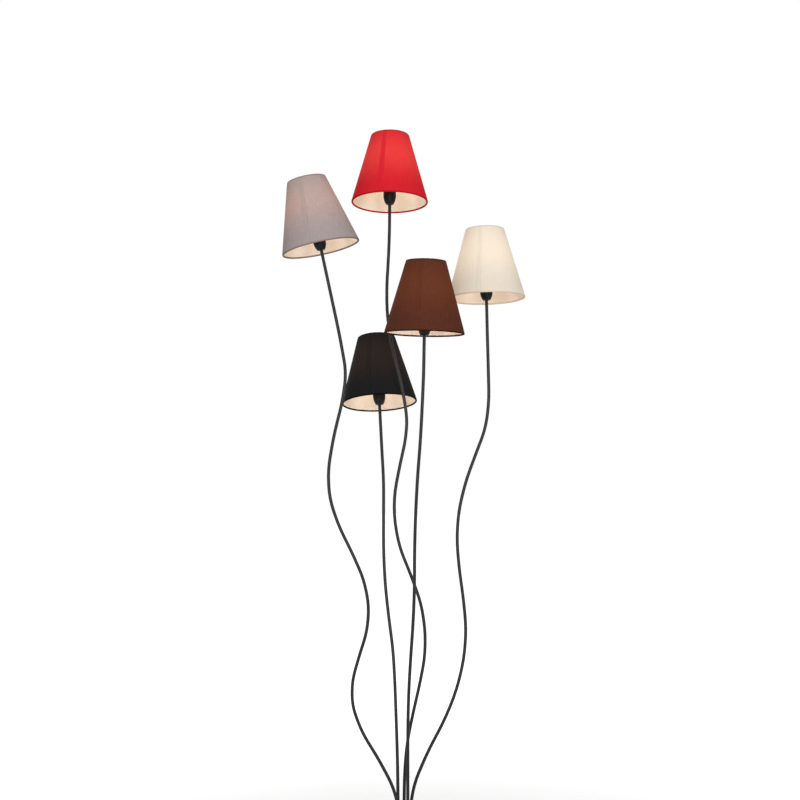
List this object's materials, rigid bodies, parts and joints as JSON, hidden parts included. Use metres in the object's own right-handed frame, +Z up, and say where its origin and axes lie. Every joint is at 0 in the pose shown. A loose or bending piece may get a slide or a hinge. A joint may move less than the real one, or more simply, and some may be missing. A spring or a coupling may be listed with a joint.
{
  "type": "tree floor lamp",
  "caption": "Floor lamp with bent tube stems rising from a round weighted base, each ending in a small lampholder with a tapered fabric shade.",
  "frame": {"origin": "centre of the flat underside of the base, on the floor", "axes": "+Z up; +Y to the back, away from the side the picture shows; +X to the right seen from the front"},
  "size_m": [0.5286, 0.3867, 1.6001],
  "materials": {
    "black_paint": "satin",
    "cast_weight": "rough",
    "felt": "matte",
    "steel": "satin",
    "white_plastic": "matte",
    "inlet_rubber": "matte",
    "lead_sheath": "matte",
    "black_plastic": "satin",
    "white_ceramic": "matte",
    "opal_glass": "matte",
    "white_wire": "satin",
    "grey_fabric": "woven",
    "red_fabric": "woven",
    "cream_fabric": "woven",
    "brown_fabric": "woven",
    "black_fabric": "woven"
  },
  "bodies": {
    "base": {"base_cover": "black_paint", "base_weight": "cast_weight", "felt_pad": "felt", "hub": "black_paint", "hub_bolt": "steel", "grub_screws": "steel", "terminal_block": "white_plastic", "cord_gland": "inlet_rubber", "base_leads": "lead_sheath"},
    "foot_grey": {"foot_grey": "black_paint"},
    "arm_grey": {"stem_grey": "black_paint", "lead_grey": "lead_sheath", "holder_cap_grey": "black_plastic", "holder_shell_grey": "black_plastic", "holder_core_grey": "white_ceramic", "shade_ring_grey": "black_plastic", "shade_frame_grey": "white_wire", "shade_cover_grey": "grey_fabric"},
    "bulb_grey": {"bulb_grey": "opal_glass"},
    "foot_red": {"foot_red": "black_paint"},
    "arm_red": {"stem_red": "black_paint", "lead_red": "lead_sheath", "holder_cap_red": "black_plastic", "holder_shell_red": "black_plastic", "holder_core_red": "white_ceramic", "shade_ring_red": "black_plastic", "shade_frame_red": "white_wire", "shade_cover_red": "red_fabric"},
    "bulb_red": {"bulb_red": "opal_glass"},
    "foot_cream": {"foot_cream": "black_paint"},
    "arm_cream": {"stem_cream": "black_paint", "lead_cream": "lead_sheath", "holder_cap_cream": "black_plastic", "holder_shell_cream": "black_plastic", "holder_core_cream": "white_ceramic", "shade_ring_cream": "black_plastic", "shade_frame_cream": "white_wire", "shade_cover_cream": "cream_fabric"},
    "bulb_cream": {"bulb_cream": "opal_glass"},
    "foot_brown": {"foot_brown": "black_paint"},
    "arm_brown": {"stem_brown": "black_paint", "lead_brown": "lead_sheath", "holder_cap_brown": "black_plastic", "holder_shell_brown": "black_plastic", "holder_core_brown": "white_ceramic", "shade_ring_brown": "black_plastic", "shade_frame_brown": "white_wire", "shade_cover_brown": "brown_fabric"},
    "bulb_brown": {"bulb_brown": "opal_glass"},
    "foot_black": {"foot_black": "black_paint"},
    "arm_black": {"stem_black": "black_paint", "lead_black": "lead_sheath", "holder_cap_black": "black_plastic", "holder_shell_black": "black_plastic", "holder_core_black": "white_ceramic", "shade_ring_black": "black_plastic", "shade_frame_black": "white_wire", "shade_cover_black": "black_fabric"},
    "bulb_black": {"bulb_black": "opal_glass"}
  },
  "joints": [
    {"name": "swivel_grey", "type": "hinge", "parent": "base", "child": "foot_grey", "pos_m": [-0.00764, -0.01052, 0.072], "axis": [0, 0, 1], "range_deg": [-20, 20]},
    {"name": "bend_grey", "type": "hinge", "parent": "foot_grey", "child": "arm_grey", "pos_m": [-0.00764, -0.01052, 0.072], "axis": [0.1736, -0.9848, 0], "range_deg": [-1, 5]},
    {"name": "bulb_out_grey", "type": "slide", "parent": "arm_grey", "child": "bulb_grey", "axis": [-0.2115, 0.0037, 0.9774], "range_m": [0, 0.025]},
    {"name": "swivel_red", "type": "hinge", "parent": "base", "child": "foot_red", "pos_m": [0, 0.013, 0.072], "axis": [0, 0, 1], "range_deg": [-20, 20]},
    {"name": "bend_red", "type": "hinge", "parent": "foot_red", "child": "arm_red", "pos_m": [0, 0.013, 0.072], "axis": [0, 1, 0], "range_deg": [0, 4]},
    {"name": "bulb_out_red", "type": "slide", "parent": "arm_red", "child": "bulb_red", "axis": [0.0049, 0.0901, 0.9959], "range_m": [0, 0.025]},
    {"name": "swivel_cream", "type": "hinge", "parent": "base", "child": "foot_cream", "pos_m": [0.01236, 0.00402, 0.072], "axis": [0, 0, 1], "range_deg": [-10, 20]},
    {"name": "bend_cream", "type": "hinge", "parent": "foot_cream", "child": "arm_cream", "pos_m": [0.01236, 0.00402, 0.072], "axis": [-0.0349, 0.9994, 0], "range_deg": [-1, 5]},
    {"name": "bulb_out_cream", "type": "slide", "parent": "arm_cream", "child": "bulb_cream", "axis": [-0.0182, 0.0403, 0.999], "range_m": [0, 0.025]},
    {"name": "swivel_brown", "type": "hinge", "parent": "base", "child": "foot_brown", "pos_m": [0.00764, -0.01052, 0.072], "axis": [0, 0, 1], "range_deg": [-20, 10]},
    {"name": "bend_brown", "type": "hinge", "parent": "foot_brown", "child": "arm_brown", "pos_m": [0.00764, -0.01052, 0.072], "axis": [0.9397, 0.342, 0], "range_deg": [-1, 5]},
    {"name": "bulb_out_brown", "type": "slide", "parent": "arm_brown", "child": "bulb_brown", "axis": [0.0232, -0.0271, 0.9994], "range_m": [0, 0.025]},
    {"name": "swivel_black", "type": "hinge", "parent": "base", "child": "foot_black", "pos_m": [-0.01236, 0.00402, 0.072], "axis": [0, 0, 1], "range_deg": [-20, 20]},
    {"name": "bend_black", "type": "hinge", "parent": "foot_black", "child": "arm_black", "pos_m": [-0.01236, 0.00402, 0.072], "axis": [-0.9272, -0.3746, 0], "range_deg": [0, 5]},
    {"name": "bulb_out_black", "type": "slide", "parent": "arm_black", "child": "bulb_black", "axis": [-0.0513, 0.1796, 0.9824], "range_m": [0, 0.025]}
  ]
}
